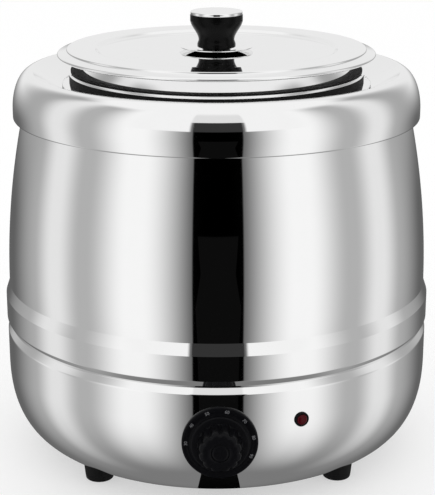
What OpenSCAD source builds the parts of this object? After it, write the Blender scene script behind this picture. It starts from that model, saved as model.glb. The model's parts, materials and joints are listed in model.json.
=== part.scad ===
// Electric soup kettle: bowl base, barrel, collar, water well, soup pot and lid.
// Millimetres. The origin is on the floor under the kettle's axis, +Z is up and the dial faces -Y.

/* [Sheet metal] */
// Thickness of the pressed steel sheets
sheet_t = 1.0; // [0.8:0.1:1.4]
// Gap left between fixed pieces that meet on a curve
fit_gap = 0.2; // [0.1:0.05:0.3]
// Gap under pieces that lift off
rest_gap = 0.1; // [0.05:0.05:0.3]

/* [Bowl base] */
// Largest radius of the bowl
bowl_r = 172.3; // [166:0.1:180]
// Height of the bowl's underside above the floor
bowl_lift = 9.7; // [8:0.1:14]
// Radial width of the bowl's lower curve
bowl_curve_w = 49; // [44:1:52]
// Height of the bowl's lower curve
bowl_curve_h = 68.5; // [66:0.5:76]
// Squareness of the lower curve, 2 is an ellipse
bowl_power = 2.45; // [2.2:0.05:3]
// Height of the straight wall above the curve
bowl_wall_h = 23; // [18:0.2:28]
// Height of the sloping shoulder under the band
bowl_shoulder_h = 4.6; // [3.5:0.1:6.5]
// Radius of the bend below the shoulder
bowl_shoulder_r = 2.5; // [1.5:0.5:4]
// Height of the lip that stands inside the band
bowl_lip_h = 18; // [12:1:22]
// How far the access hole in the bowl's floor is set in from the tie rods
access_inset = 19; // [15:1:33]
// Overlap of the base plate beyond the access hole
plate_lap = 8; // [7:0.5:9]

/* [Feet] */
// Distance of each foot from the axis, along X and along Y
foot_xy = 94; // [90:1:98]
// Radius of a foot at its top
foot_top_r = 12.5; // [11:0.5:14]
// Radius of a foot at the floor
foot_bottom_r = 11; // [9.5:0.5:12]
// Radius of the foot screw
foot_screw_r = 2; // [1.5:0.25:2.5]

/* [Barrel] */
// How far the band stands out past the bowl
band_over = 0.5; // [0.3:0.1:1.5]
// Height of the band
band_h = 24.7; // [20:0.1:30]
// Height of the step from the band to the wall
band_step_h = 9; // [6:0.1:14]
// Radial size of that step
band_step = 3; // [2:0.1:5]
// Radial size of the band's turned-in lower edge
hem_w = 3.2; // [2:0.1:4]
// Height of that edge
hem_h = 6; // [4:0.5:8]
// Height of the bellied wall between step and collar
barrel_h = 134.3; // [110:0.1:160]
// How much the wall narrows from bottom to top
barrel_taper = 14.6; // [8:0.1:18]

/* [Collar] */
// How far the collar stands out past the barrel's top
collar_over = 6.8; // [4:0.1:10]
// Height of the collar's upright wall
collar_wall_h = 7.3; // [5:0.1:15]
// Height of the collar's domed shoulder
shoulder_h = 29.7; // [22:0.1:36]
// Radial width of the shoulder
shoulder_w = 15; // [11:0.5:20]
// Radius of the crest between shoulder and funnel
crest_r = 3; // [2:0.5:4]
// Height that the funnel falls
funnel_drop = 11.9; // [8:0.1:13]
// Width of the flat seat that carries the pot
seat_w = 5.6; // [4.5:0.1:7]

/* [Water well] */
// Gap between the pot's wall and the well
water_gap = 2.9; // [2:0.1:4]
// Depth of water below the pot
water_depth = 14; // [10:0.5:20]
// Corner radius at the well's floor
well_corner_r = 12; // [8:0.5:13]

/* [Soup pot] */
// Outer radius of the pot's wall
pot_r = 115.5; // [112:0.5:117]
// Height of the pot's rim above its seat
rim_h = 8.4; // [6:0.1:10]
// Inside depth of the pot
pot_depth = 226; // [215:1:227]
// Radial width of the support flange, beyond the wall
flange_w = 6.8; // [6:0.1:7]
// Thickness of the seal round the pot's neck
neck_seal_t = 1.3; // [0.8:0.1:1.4]

/* [Lid] */
// How far the lid's edge stands out past the pot's wall
lid_over = 10.3; // [8:0.1:14]
// Width of the lid's raised band, outside its sunk centre
lid_band_w = 33.8; // [26:0.1:45]
// Depth of the sunk centre
lid_sink = 2.5; // [1.5:0.1:4]
// Height from the lid's ledge to its top
lid_h = 19.9; // [18:0.1:24]
// Width of the sloping flange round the raised band
lid_flange_w = 7.5; // [6.5:0.5:10]
// Height of the step from the raised band down to that flange
lid_step_h = 1.5; // [1:0.1:2.2]
// Depth of the rolled edge's centre under the lid's top
lid_edge_drop = 4.5; // [4:0.1:6]
// Radius of the rolled edge
lid_edge_r = 1.3; // [1.2:0.1:1.8]
// How far the wall under the lid is set in from the pot's wall
skirt_inset = 7; // [5.5:0.5:11]
// How far the lid's ledge reaches past the pot's wall
ledge_over = 1.5; // [1:0.1:3]
// How far the seal on the ledge stops short of the ledge's edge
lid_seal_inset = 1.4; // [0.8:0.1:3]
// Thickness of the seal on the ledge
lid_seal_t = 1.1; // [0.8:0.1:2]
// Depth of the plug inside the pot
plug_h = 9; // [6:0.5:14]
// Gap between the plug and the pot
plug_gap = 1.5; // [0.8:0.1:2.5]

/* [Lid knob] */
// Height of the lid knob
knob_h = 29.8; // [26:0.1:34]
// Radius of the knob's top
knob_top_r = 20.8; // [18:0.2:24]
// Radius of the knob's waist
knob_waist_r = 14.2; // [12:0.2:15]
// Radius of the knob's foot
knob_foot_r = 15.2; // [14:0.2:17]
// Radius of the bright disc under the knob
shield_r = 29; // [24:0.5:34]
// Radius of the lid screw
lid_screw_r = 2.5; // [2:0.25:3]

/* [Controls] */
// Height of the dial's centre
dial_z = 64.3; // [60:0.1:68]
// Radius of the dial bezel
bezel_r = 28.2; // [26:0.1:30]
// How far the bezel's face stands out past the bowl's widest point
bezel_out = 1.7; // [1.2:0.1:4]
// Radius of the control knob's skirt
dial_skirt_r = 21.6; // [19:0.1:24]
// How far the control knob stands out from the bezel
dial_knob_h = 18.5; // [14:0.5:24]
// Radius of the control knob's grip
dial_grip_r = 16.5; // [14:0.1:18]
// Radius of the thermostat shaft
shaft_r = 3; // [2.5:0.25:3.5]
// Radial clearance of the shaft in its bush
shaft_clearance = 0.05; // [0.02:0.01:0.09]
// Bearing of the pilot lamp round the bowl, from the dial
lamp_bearing = 20.5; // [18:0.5:30]
// Height of the pilot lamp
lamp_z = 77.7; // [70:0.1:84]
// Radius of the pilot lamp's rim
lamp_rim_r = 5.6; // [5:0.1:8]

/* [Heating] */
// How far the heating ring is set in from the diffuser plate's edge
element_inset = 10; // [8:0.5:13]
// Radius of the heating tube
element_tube_r = 4; // [3:0.25:4.5]
// How far the diffuser plate is set in from the edge of the well's flat floor
diffuser_inset = 12.4; // [10.4:0.1:14.4]
// Thickness of the diffuser plate
diffuser_t = 3; // [2:0.5:5]
// How far each tie rod is set in from the edge of the well's flat floor
tie_inset = 4.4; // [3.4:0.1:5.4]
// Radius of a tie rod
tie_r = 3; // [2.5:0.25:3]

/* [Cord entry] */
// Height of the cord gland
gland_z = 60; // [56:0.5:70]
// Radius of the cord's bore
cord_r = 4.5; // [3.5:0.1:5]
// How far the gland stands out of the bowl
gland_out = 20.5; // [18:0.5:23]

/* [Hidden] */
$fn = 96;

// Colours of the materials
steel = [0.80, 0.80, 0.81];
inner_steel = [0.70, 0.70, 0.71];
black = [0.05, 0.05, 0.06];
rubber = [0.08, 0.08, 0.08];
brass = [0.78, 0.62, 0.30];
ceramic = [0.92, 0.90, 0.84];
lamp_red = [0.45, 0.02, 0.04];
wire_blue = [0.10, 0.20, 0.55];

// Heights of the shells, from the floor up
bowl_curve_z = bowl_lift + bowl_curve_h;
bowl_wall_top = bowl_curve_z + bowl_wall_h;
bowl_axis_r = bowl_r - bowl_curve_w;
band_r = bowl_r + band_over;
hem_turn = 70;
hem_curve = [for (i = [0:5]) let (t = hem_turn * (i / 5 - 1))
    [band_r - hem_w * (1 - cos(t)), hem_h * (1 + sin(t))]];
lip_r = min([for (p = shifted(hem_curve, sheet_t)) p[0]]) - 1.5 * fit_gap;
shoulder_turn = atan((bowl_r - lip_r) / bowl_shoulder_h);
bend_h = bowl_shoulder_r * tan(shoulder_turn / 2);
band_z = bowl_wall_top + bowl_shoulder_h + 0.7;
step_z = band_z + band_h;
barrel_z = step_z + band_step_h;
barrel_r = band_r - band_step;
collar_z = barrel_z + barrel_h;
barrel_top_r = barrel_r - barrel_taper;
barrel_tuck = 6;
collar_r = barrel_top_r + collar_over;
collar_edge_r = 1.5;
shoulder_z = collar_z + collar_wall_h;
crest_z = shoulder_z + shoulder_h;
top_r = collar_r - shoulder_w;
seat_z = crest_z - funnel_drop;
well_in_r = pot_r + water_gap;
well_flat_r = well_in_r + sheet_t - well_corner_r;
seat_r = well_in_r + seat_w;
pot_top_z = seat_z + rim_h;
pot_floor_z = pot_top_z - pot_depth;
well_floor_z = pot_floor_z - sheet_t - water_depth;
well_under_z = well_floor_z - sheet_t;
ledge_z = pot_top_z + rest_gap;
lid_top_z = ledge_z + lid_h;
lid_centre_z = lid_top_z - lid_sink;
lid_r = pot_r + lid_over;
lid_centre_r = lid_r - lid_band_w;
skirt_r = pot_r - skirt_inset;

// Heating stack under the well
diffuser_r = well_flat_r - diffuser_inset;
element_ring_r = diffuser_r - element_inset;
tie_ring_r = well_flat_r - tie_inset;
access_r = tie_ring_r - access_inset;
diffuser_z = well_under_z - diffuser_t;
element_z = diffuser_z - element_tube_r - fit_gap / 2;
clamp_z = element_z - element_tube_r - fit_gap / 2;
clamp_t = 1.5;
stud_ring_r = element_ring_r - element_tube_r - 6.5;
stud_r = 2.5;

// The front panel
bezel_y = bowl_r + bezel_out;
panel_depth = 12;
panel_y = bowl_r - panel_depth;
bracket_t = 1.5;
thermostat_y = panel_y - bracket_t;
thermostat_size = [42, 32, 36];
bush_r = 5.8;
panel_screw_x = 14;
panel_screw_r = 1.9;
pointer_rest = -135;

function last(p) = p[len(p) - 1];
function back(p) = [for (i = [len(p) - 1:-1:0]) p[i]];
function arc(c, r, a, b, n = 5) =
    [for (i = [0:n]) let (t = a + (b - a) * i / n) c + r * [cos(t), sin(t)]];

// Left-hand normal at corner i of an open path, long enough to keep the wall even
function side(a, b) = let (d = b - a) [-d[1], d[0]] / norm(d);
function corner(p, i) =
    let (before = i == 0 ? side(p[0], p[1]) : side(p[i - 1], p[i]),
         after = i == len(p) - 1 ? before : side(p[i], p[i + 1]),
         both = before + after)
    2 * both / (both * both);
function shifted(p, d) = [for (i = [0:len(p) - 1]) p[i] + d * corner(p, i)];
function wall(p, t) = concat(p, back(shifted(p, t)));

// Outside of the bowl, from the access hole up to the lip
function bowl_curve(steps = 12) =
    [for (i = [steps:-1:0]) let (t = 90 * i / steps)
        [bowl_axis_r + bowl_curve_w * pow(cos(t), 2 / bowl_power),
         bowl_curve_z - bowl_curve_h * pow(sin(t), 2 / bowl_power)]];
bowl_outline = concat(
    [[access_r, bowl_lift]],
    bowl_curve(),
    arc([bowl_r - bowl_shoulder_r, bowl_wall_top - bend_h], bowl_shoulder_r, 0, shoulder_turn, 3),
    [[lip_r, bowl_wall_top + bowl_shoulder_h], [lip_r, bowl_wall_top + bowl_lip_h]]);
// Outer radius of the bowl at a height on its lower curve
function bowl_r_at(z) =
    bowl_axis_r + bowl_curve_w * pow(1 - pow(max(0, bowl_curve_z - z) / bowl_curve_h, bowl_power),
                                     1 / bowl_power);
// Height of that curve at a radius
function bowl_z_at(r) =
    bowl_curve_z - bowl_curve_h * pow(1 - pow(max(0, r - bowl_axis_r) / bowl_curve_w, bowl_power),
                                      1 / bowl_power);

// Outside of the barrel, from the hem up to the part tucked into the collar
function ease(t) = t * t * (3 - 2 * t);
barrel_outline = concat(
    [for (p = hem_curve) p + [0, band_z]],
    [[band_r, step_z], [band_r - band_step, barrel_z]],
    [for (i = [1:12]) let (t = i / 12) [barrel_r - barrel_taper * t * t, barrel_z + barrel_h * t]],
    [[barrel_top_r - 2 * barrel_taper * barrel_tuck / barrel_h, collar_z + barrel_tuck]]);

// Outside of the collar, from its inner lower edge over the crest to the seat
funnel_w = top_r - seat_r;
funnel_slope = atan(funnel_drop / funnel_w);
collar_outline = concat(
    [[barrel_top_r + fit_gap, collar_z]],
    arc([collar_r - collar_edge_r, collar_z + collar_edge_r], collar_edge_r, -90, 0, 4),
    [for (i = [0:9]) let (t = 10 * i)
        [top_r + shoulder_w * cos(t), shoulder_z + shoulder_h * sin(t)]],
    arc([top_r - 0.5, crest_z - crest_r], crest_r, 90, 90 + funnel_slope, 3),
    [[seat_r, seat_z], [well_in_r, seat_z]]);

module ring(outline, t = sheet_t) {
    rotate_extrude() polygon(wall(outline, t));
}

// Everything inside the bowl's outside surface, grown or shrunk by a gap
module bowl_solid(gap) {
    skin = shifted(bowl_outline, -gap);
    rotate_extrude($fn = 480) polygon(concat([[0, bowl_lift - gap]], skin, [[0, last(skin)[1]]]));
}

// Turns local +Z to face out of the bowl at a bearing from the dial
module facing(bearing, radius, z) {
    rotate([0, 0, bearing]) translate([0, -radius, z]) rotate([90, 0, 0]) children();
}

module at_feet() {
    for (x = [-foot_xy, foot_xy], y = [-foot_xy, foot_xy]) translate([x, y, 0]) children();
}

module round_array(n, r, start = 0) {
    for (i = [0:n - 1]) rotate([0, 0, start + 360 * i / n]) translate([r, 0, 0]) children();
}

module hex(r, h) {
    cylinder(r = r, h = h, $fn = 6);
}

// Round tube of 8 sides swept along points
function unit(v) = v / norm(v);
function heading(p, i) =
    unit(p[min(i + 1, len(p) - 1)] - p[max(i - 1, 0)]);
function bend(p, i, n) =
    let (q = len(p) - 1, s = i / n * q, k = min(floor(s), q - 1), t = s - k,
         a = p[max(k - 1, 0)], b = p[k], c = p[k + 1], d = p[min(k + 2, q)])
    0.5 * (2 * b + (c - a) * t + (2 * a - 5 * b + 4 * c - d) * t * t
           + (3 * b - a - 3 * c + d) * t * t * t);
module tube(points, r, rings = 24) {
    sides = 8;
    path = [for (i = [0:rings]) bend(points, i, rings)];
    skin = [for (i = [0:rings]) let (h = heading(path, i), u = unit(cross(h, [0.2, 0.3, 1])),
                                     v = cross(h, u))
                for (k = [0:sides - 1]) path[i] + r * (u * cos(360 * k / sides)
                                                       + v * sin(360 * k / sides))];
    polyhedron(skin, concat(
        [[for (k = [0:sides - 1]) k]],
        [for (i = [0:rings - 1], k = [0:sides - 1]) let (j = (k + 1) % sides)
            [i * sides + k, (i + 1) * sides + k, (i + 1) * sides + j, i * sides + j]],
        [[for (k = [sides - 1:-1:0]) rings * sides + k]]));
}

// ---- Bowl base ----

plate_r = access_r + plate_lap;
plate_screw_ring_r = access_r + plate_lap / 2;
plate_screw_r = 1.5;
hole_gap = 0.2;
lamp_neck_r = lamp_rim_r - 1.2;
gland_neck_r = cord_r + 3.5;
terminal_size = [34, 16, 14];
terminal_gap = 8;
terminal_y = plate_r + terminal_gap + terminal_size[1] / 2;
terminal_screw_x = 10;
terminal_screw_r = 1.5;
earth_x = 34;
earth_y = plate_r + terminal_gap;
earth_r = 2.5;

module base_shell() {
    color(steel) difference() {
        ring(bowl_outline);
        facing(0, bowl_r + 5, dial_z) {
            cylinder(r = bush_r + hole_gap, h = 30, center = true);
            for (x = [-panel_screw_x, panel_screw_x])
                translate([x, 0, 0]) cylinder(r = panel_screw_r + hole_gap, h = 50, center = true);
        }
        facing(lamp_bearing, bowl_r, lamp_z)
            cylinder(r = lamp_neck_r + hole_gap, h = 30, center = true);
        facing(180, bowl_r, gland_z)
            cylinder(r = gland_neck_r + hole_gap, h = 30, center = true);
        at_feet() cylinder(r = foot_screw_r + hole_gap, h = 40);
        round_array(4, tie_ring_r, 45) cylinder(r = tie_r + hole_gap, h = 30);
        round_array(4, plate_screw_ring_r) cylinder(r = plate_screw_r + hole_gap, h = 30);
        for (x = [-terminal_screw_x, terminal_screw_x])
            translate([x, terminal_y, 0]) cylinder(r = terminal_screw_r + hole_gap, h = 30);
        translate([earth_x, earth_y, 0]) cylinder(r = earth_r + hole_gap, h = 30);
    }
}

vent_rows = 5;
vent_pitch = 22;
vent_w = 5;
module base_plate() {
    color(steel) difference() {
        translate([0, 0, bowl_lift - sheet_t]) cylinder(r = plate_r, h = sheet_t);
        round_array(4, plate_screw_ring_r)
            cylinder(r = plate_screw_r + hole_gap, h = 30);
        for (i = [0:vent_rows - 1]) let (y = (i - (vent_rows - 1) / 2) * vent_pitch)
            for (x = [-1, 1]) translate([x * access_r * 0.3, y, bowl_lift])
                cube([access_r * 0.42, vent_w, 4 * sheet_t], center = true);
    }
}

plate_screw_head_h = 1.6;
module base_plate_screws() {
    color(steel) round_array(4, plate_screw_ring_r) {
        translate([0, 0, bowl_lift - sheet_t]) cylinder(r = plate_screw_r, h = 2 * sheet_t + 4);
        translate([0, 0, bowl_lift - sheet_t - plate_screw_head_h])
            cylinder(r = 2 * plate_screw_r, h = plate_screw_head_h);
    }
}

foot_recess_r = 5;
foot_recess_h = 4;
foot_round = 1.5;
module foot(x, y) {
    color(rubber) difference() {
        translate([x, y, 0]) rotate_extrude() polygon([
            [foot_screw_r + hole_gap, foot_recess_h], [foot_recess_r, foot_recess_h],
            [foot_recess_r, 0], [foot_bottom_r - foot_round, 0],
            [foot_bottom_r - 0.3 * foot_round, 0.3 * foot_round], [foot_bottom_r, foot_round],
            [foot_top_r, bowl_lift + 6], [foot_screw_r + hole_gap, bowl_lift + 6]]);
        bowl_solid(fit_gap);
    }
}
module foot_front_left() { foot(-foot_xy, -foot_xy); }
module foot_front_right() { foot(foot_xy, -foot_xy); }
module foot_rear_left() { foot(-foot_xy, foot_xy); }
module foot_rear_right() { foot(foot_xy, foot_xy); }

foot_screw_head_h = 1.8;
foot_nut_r = 2.1 * foot_screw_r;
foot_nut_h = 3.2;
foot_seat_z = bowl_z_at(foot_xy * sqrt(2) + foot_nut_r) + 1.05 * sheet_t + fit_gap;
module foot_screws() {
    color(steel) at_feet() {
        translate([0, 0, foot_recess_h])
            cylinder(r = foot_screw_r, h = foot_seat_z + foot_nut_h + 2 - foot_recess_h);
        translate([0, 0, foot_recess_h - foot_screw_head_h])
            cylinder(r = foot_recess_r - 0.6, h = foot_screw_head_h);
    }
}

module foot_nuts() {
    color(steel) at_feet() translate([0, 0, foot_seat_z]) difference() {
        hex(foot_nut_r, foot_nut_h);
        translate([0, 0, -1]) cylinder(r = foot_screw_r + 0.02, h = foot_nut_h + 2);
    }
}

// ---- Barrel, collar and well ----

module barrel_shell() {
    color(steel) ring(barrel_outline);
}

module collar() {
    color(steel) ring(collar_outline);
}

well_flange = 8.5;
well_outline = concat(
    [[0, well_under_z]],
    arc([well_in_r + sheet_t - well_corner_r, well_under_z + well_corner_r], well_corner_r, -90, 0),
    [[well_in_r + sheet_t, seat_z - 2 * sheet_t], [well_in_r + well_flange, seat_z - 2 * sheet_t]]);
module water_well() {
    color(inner_steel) ring(well_outline);
}

// ---- Heating stack ----

module diffuser_plate() {
    color([0.75, 0.75, 0.76]) translate([0, 0, diffuser_z]) cylinder(r = diffuser_r, h = diffuser_t);
}

element_gap = 28;
element_drop = 14;
element_pin_r = 1.6;
element_pin_h = 8;
module heating_element() {
    color([0.35, 0.34, 0.33]) translate([0, 0, element_z]) {
        rotate([0, 0, 90 + element_gap / 2]) rotate_extrude(angle = 360 - element_gap)
            translate([element_ring_r, 0]) circle(r = element_tube_r);
        for (a = [-1, 1]) rotate([0, 0, 90 + a * element_gap / 2]) translate([element_ring_r, 0, 0]) {
            sphere(r = element_tube_r);
            translate([0, 0, -element_drop]) cylinder(r = element_tube_r, h = element_drop);
            translate([0, 0, -element_drop - element_pin_h])
                cylinder(r = element_pin_r, h = element_pin_h);
        }
    }
}

clamp_in_r = stud_ring_r - 6;
clamp_out_r = element_ring_r + element_tube_r + 2;
module element_clamp() {
    color(inner_steel) translate([0, 0, clamp_z - clamp_t]) difference() {
        cylinder(r = clamp_out_r, h = clamp_t);
        translate([0, 0, -1]) cylinder(r = clamp_in_r, h = clamp_t + 2);
        round_array(3, stud_ring_r, 30) translate([0, 0, -1])
            cylinder(r = stud_r + hole_gap, h = clamp_t + 2);
        for (a = [-1, 1]) rotate([0, 0, 90 + a * element_gap / 2])
            translate([element_ring_r, 0, -1]) cylinder(r = element_tube_r + 1, h = clamp_t + 2);
    }
}

stud_end = 8;
nut_h = 4;
module clamp_studs() {
    color(brass) round_array(3, stud_ring_r, 30) translate([0, 0, clamp_z - clamp_t - stud_end])
        cylinder(r = stud_r, h = diffuser_z - clamp_z + clamp_t + stud_end);
}

module clamp_nuts() {
    color(brass) round_array(3, stud_ring_r, 30) translate([0, 0, clamp_z - clamp_t - nut_h])
        difference() {
            hex(1.85 * stud_r, nut_h);
            translate([0, 0, -1]) cylinder(r = stud_r + 0.02, h = nut_h + 2);
        }
}

cutout_y = 24;
cutout_r = 8;
cutout_h = 9;
cutout_tab_x = 12;
cutout_screw_r = 1.5;
module thermal_cutout() {
    color(ceramic) translate([0, cutout_y, diffuser_z - cutout_h]) {
        difference() {
            union() {
                cylinder(r = cutout_r, h = cutout_h);
                translate([0, 0, cutout_h - 0.5]) cube([2 * cutout_tab_x + 7, 8, 1], center = true);
            }
            for (x = [-cutout_tab_x, cutout_tab_x])
                translate([x, 0, 0]) cylinder(r = cutout_screw_r + hole_gap, h = cutout_h + 2);
        }
        for (x = [-4, 4]) translate([x - 0.4, -2, -7]) cube([0.8, 4, 7.5]);
    }
}

module cutout_screws() {
    color(steel) for (x = [-cutout_tab_x, cutout_tab_x])
        translate([x, cutout_y, diffuser_z - 1 - 1.6]) {
            cylinder(r = cutout_screw_r, h = 2.6);
            cylinder(r = 2 * cutout_screw_r, h = 1.6);
        }
}

// ---- Controls ----

bracket_w = 52;
bracket_h = 44;
module control_bracket() {
    color(inner_steel) difference() {
        intersection() {
            bowl_solid(-sheet_t - fit_gap);
            translate([-bracket_w / 2, -bowl_r, dial_z - bracket_h / 2]) difference() {
                cube([bracket_w, bowl_r - thermostat_y, bracket_h]);
                translate([bracket_t, -1, -1])
                    cube([bracket_w - 2 * bracket_t, bowl_r - panel_y + 1, bracket_h + 2]);
            }
        }
        facing(0, panel_y, dial_z) {
            cylinder(r = bush_r + hole_gap, h = 8, center = true);
            for (x = [-panel_screw_x, panel_screw_x])
                translate([x, 0, 0]) cylinder(r = panel_screw_r + hole_gap, h = 8, center = true);
        }
    }
}

shaft_bore_r = shaft_r + shaft_clearance;
shaft_tail = 8;
thermostat_tab_x = 8;
module thermostat() {
    color(ceramic) facing(0, thermostat_y, dial_z) difference() {
        union() {
            translate([0, 0, -thermostat_size[1] / 2])
                cube([thermostat_size[0], thermostat_size[2], thermostat_size[1]], center = true);
            cylinder(r = bush_r, h = bezel_y - 1 - thermostat_y);
            for (x = [-1, 1]) translate([x * thermostat_tab_x - 3, -thermostat_size[2] / 2 + 3,
                                         -thermostat_size[1] - 7])
                cube([6, 0.8, 8]);
        }
        translate([0, 0, -shaft_tail]) cylinder(r = shaft_bore_r, h = 60);
        for (x = [-panel_screw_x, panel_screw_x])
            translate([x, 0, -7]) cylinder(r = panel_screw_r + 0.05, h = 8);
    }
}

panel_screw_head_h = 1.8;
module thermostat_screws() {
    color(steel) facing(0, bezel_y, dial_z) for (x = [-panel_screw_x, panel_screw_x])
        translate([x, 0, 0]) {
            translate([0, 0, thermostat_y - bezel_y - 6])
                cylinder(r = panel_screw_r, h = bezel_y - thermostat_y + 5);
            translate([0, 0, -panel_screw_head_h])
                cylinder(r = 1.7 * panel_screw_r, h = panel_screw_head_h);
        }
}

bezel_edge = 1;
module dial_bezel() {
    color(black) difference() {
        facing(0, bezel_y, dial_z) rotate_extrude() polygon([
            [bush_r + hole_gap, -30], [bezel_r, -30], [bezel_r, -bezel_edge],
            [bezel_r - bezel_edge, 0], [bush_r + hole_gap, 0]]);
        bowl_solid(fit_gap);
        facing(0, bezel_y, dial_z) for (x = [-panel_screw_x, panel_screw_x]) translate([x, 0, 0]) {
            cylinder(r = panel_screw_r + hole_gap, h = 60, center = true);
            translate([0, 0, -panel_screw_head_h]) cylinder(r = 1.7 * panel_screw_r + hole_gap, h = 10);
        }
    }
}

dial_back = 0.6;
dial_skirt_h = 2.4;
dial_flutes = 12;
knob_cap_r = 6.5;
knob_cap_h = 1.4;
module control_knob() {
    color(black) facing(0, bezel_y, dial_z) difference() {
        union() {
            rotate_extrude() polygon(concat(
                [[0, dial_back], [dial_skirt_r, dial_back],
                 [dial_skirt_r, dial_back + dial_skirt_h - 0.8],
                 [dial_skirt_r - 1.2, dial_back + dial_skirt_h],
                 [dial_grip_r + 0.5, dial_back + dial_skirt_h]],
                arc([dial_grip_r - 4.6, dial_knob_h - 3], 3, 0, 90, 4),
                [[0, dial_knob_h]]));
            rotate([0, 0, -pointer_rest])
                translate([-1, dial_grip_r - 1, dial_back + dial_skirt_h - 0.5])
                cube([2, dial_skirt_r - dial_grip_r, 1.2]);
        }
        for (i = [0:dial_flutes - 1]) rotate([0, 0, (i + 0.5) * 360 / dial_flutes])
            translate([dial_grip_r + 0.8, 0, dial_back + dial_skirt_h + 1.2]) cylinder(r = 2, h = 30);
        translate([0, 0, dial_knob_h - knob_cap_h]) cylinder(r = knob_cap_r + 0.1, h = 5);
        cylinder(r = bush_r + 0.5, h = 2);
        difference() {
            cylinder(r = shaft_r + 0.02, h = dial_knob_h - 4);
            translate([-10, shaft_r - shaft_flat + 0.02, -1]) cube([20, 10, 40]);
        }
    }
}

module knob_cap() {
    color(black) facing(0, bezel_y + dial_knob_h - knob_cap_h, dial_z)
        cylinder(r = knob_cap_r, h = knob_cap_h + 0.3);
}

shaft_flat = 1;
module thermostat_shaft() {
    front = bezel_y + dial_knob_h - 4.2;
    color(steel) facing(0, thermostat_y - shaft_tail + 0.3, dial_z) difference() {
        cylinder(r = shaft_r, h = front - thermostat_y + shaft_tail - 0.3);
        translate([-10, shaft_r - shaft_flat, bezel_y - thermostat_y + shaft_tail - 0.3]) cube([20, 10, 40]);
    }
}

lamp_rim_h = 1.4;
lens_dome = 1.6;
lamp_body_l = 14;
module lamp_body() {
    color(black) difference() {
        facing(lamp_bearing, bowl_r_at(lamp_z), lamp_z) difference() {
            union() {
                translate([0, 0, -1]) cylinder(r = lamp_rim_r, h = lamp_rim_h + 1);
                translate([0, 0, -lamp_body_l]) cylinder(r = lamp_neck_r, h = lamp_body_l);
            }
            translate([0, 0, -2]) cylinder(r = lamp_neck_r - 0.4, h = 10);
        }
        intersection() {
            bowl_solid(fit_gap);
            facing(lamp_bearing, bowl_r_at(lamp_z), lamp_z) difference() {
                cylinder(r = 3 * lamp_rim_r, h = 10, center = true);
                cylinder(r = lamp_neck_r, h = 12, center = true);
            }
        }
    }
}

module lamp_lens() {
    lens_r = lamp_neck_r - 0.45;
    color(lamp_red) facing(lamp_bearing, bowl_r_at(lamp_z), lamp_z) {
        rotate_extrude() polygon(concat(
            [[0, -1.9], [lens_r, -1.9], [lens_r, lamp_rim_h]],
            [for (i = [1:5]) let (t = 18 * i) [lens_r * cos(t), lamp_rim_h + lens_dome * sin(t)]]));
    }
}

module lamp_nut() {
    color(black) intersection() {
        facing(lamp_bearing, bowl_r_at(lamp_z), lamp_z) translate([0, 0, -sheet_t - 4]) difference() {
            hex(lamp_rim_r + 2, 5);
            translate([0, 0, -1]) cylinder(r = lamp_neck_r + 0.05, h = 10);
        }
        bowl_solid(-sheet_t - fit_gap);
    }
}

// ---- Sensing ----

bulb_r = 3;
bulb_l = 60;
bulb_y = -30;
bulb_z = diffuser_z - bulb_r - fit_gap;
module thermostat_bulb() {
    color([0.80, 0.50, 0.35]) translate([-bulb_l / 2, bulb_y, bulb_z]) rotate([0, 90, 0])
        cylinder(r = bulb_r, h = bulb_l);
}

clip_w = 10;
module bulb_clip() {
    color(steel) translate([-clip_w / 2, bulb_y, diffuser_z]) difference() {
        union() {
            translate([0, -bulb_r - 8, -1]) cube([clip_w, 2 * bulb_r + 16, 1]);
            translate([0, 0, -bulb_r - fit_gap]) rotate([0, 90, 0])
                cylinder(r = bulb_r + 1.2, h = clip_w);
            translate([0, -bulb_r - 1.2, -bulb_r - fit_gap])
                cube([clip_w, 2 * bulb_r + 2.4, bulb_r + fit_gap]);
        }
        translate([-1, 0, -bulb_r - fit_gap]) rotate([0, 90, 0]) cylinder(r = bulb_r + 0.1, h = clip_w + 2);
        translate([-1, -bulb_r - 0.1, -bulb_r - fit_gap]) cube([clip_w + 2, 2 * bulb_r + 0.2, bulb_r + 2]);
    }
}

// Scale of the wires' routes, which follow the bowl's size, and their heights over its floor
run = bowl_r / 172.3;
wire_z = clamp_z - clamp_t - stud_end - 8 * run;
bowl_floor_z = bowl_lift + sheet_t;
wire_room = wire_z - bowl_floor_z;
wire_lane = wire_z - 0.44 * wire_room;
wire_rise = wire_z - 0.36 * wire_room;
capillary_r = 0.8;
module capillary_tube() {
    inner_y = -thermostat_y + thermostat_size[1];
    color([0.80, 0.50, 0.35]) tube([
        [bulb_l / 2 + capillary_r / 2, bulb_y, bulb_z], [bulb_l / 2 + 8 * run, bulb_y, bulb_z - 3 * run],
        [bulb_l / 2 + 9 * run, bulb_y - 4 * run, wire_z],
        [36 * run, inner_y + 52 * run, wire_z - run], [26 * run, inner_y + 19 * run, wire_z],
        [4 * run, inner_y + 14 * run, dial_z - 8 * run], [0, inner_y + 6 * run, dial_z - 6 * run],
        [0, inner_y + capillary_r / 2, dial_z - 6 * run]], capillary_r, 36);
}

// ---- Supply ----

module terminal_block() {
    color(ceramic) difference() {
        translate([-terminal_size[0] / 2, terminal_y - terminal_size[1] / 2, bowl_floor_z])
            cube(terminal_size);
        for (x = [-terminal_screw_x, terminal_screw_x]) translate([x, terminal_y, 0])
            cylinder(r = terminal_screw_r + hole_gap, h = 60);
        for (x = [-12, 0, 12]) translate([x, terminal_y, bowl_floor_z + terminal_size[2] - 5])
            rotate([90, 0, 0]) cylinder(r = 2, h = 40, center = true);
    }
}

module terminal_screws() {
    color(steel) for (x = [-terminal_screw_x, terminal_screw_x]) translate([x, terminal_y, 0]) {
        translate([0, 0, bowl_lift - 1.4]) cylinder(r = 2 * terminal_screw_r, h = 1.4);
        translate([0, 0, bowl_lift - 1]) cylinder(r = terminal_screw_r, h = sheet_t + terminal_size[2] - 5);
    }
}

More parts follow.
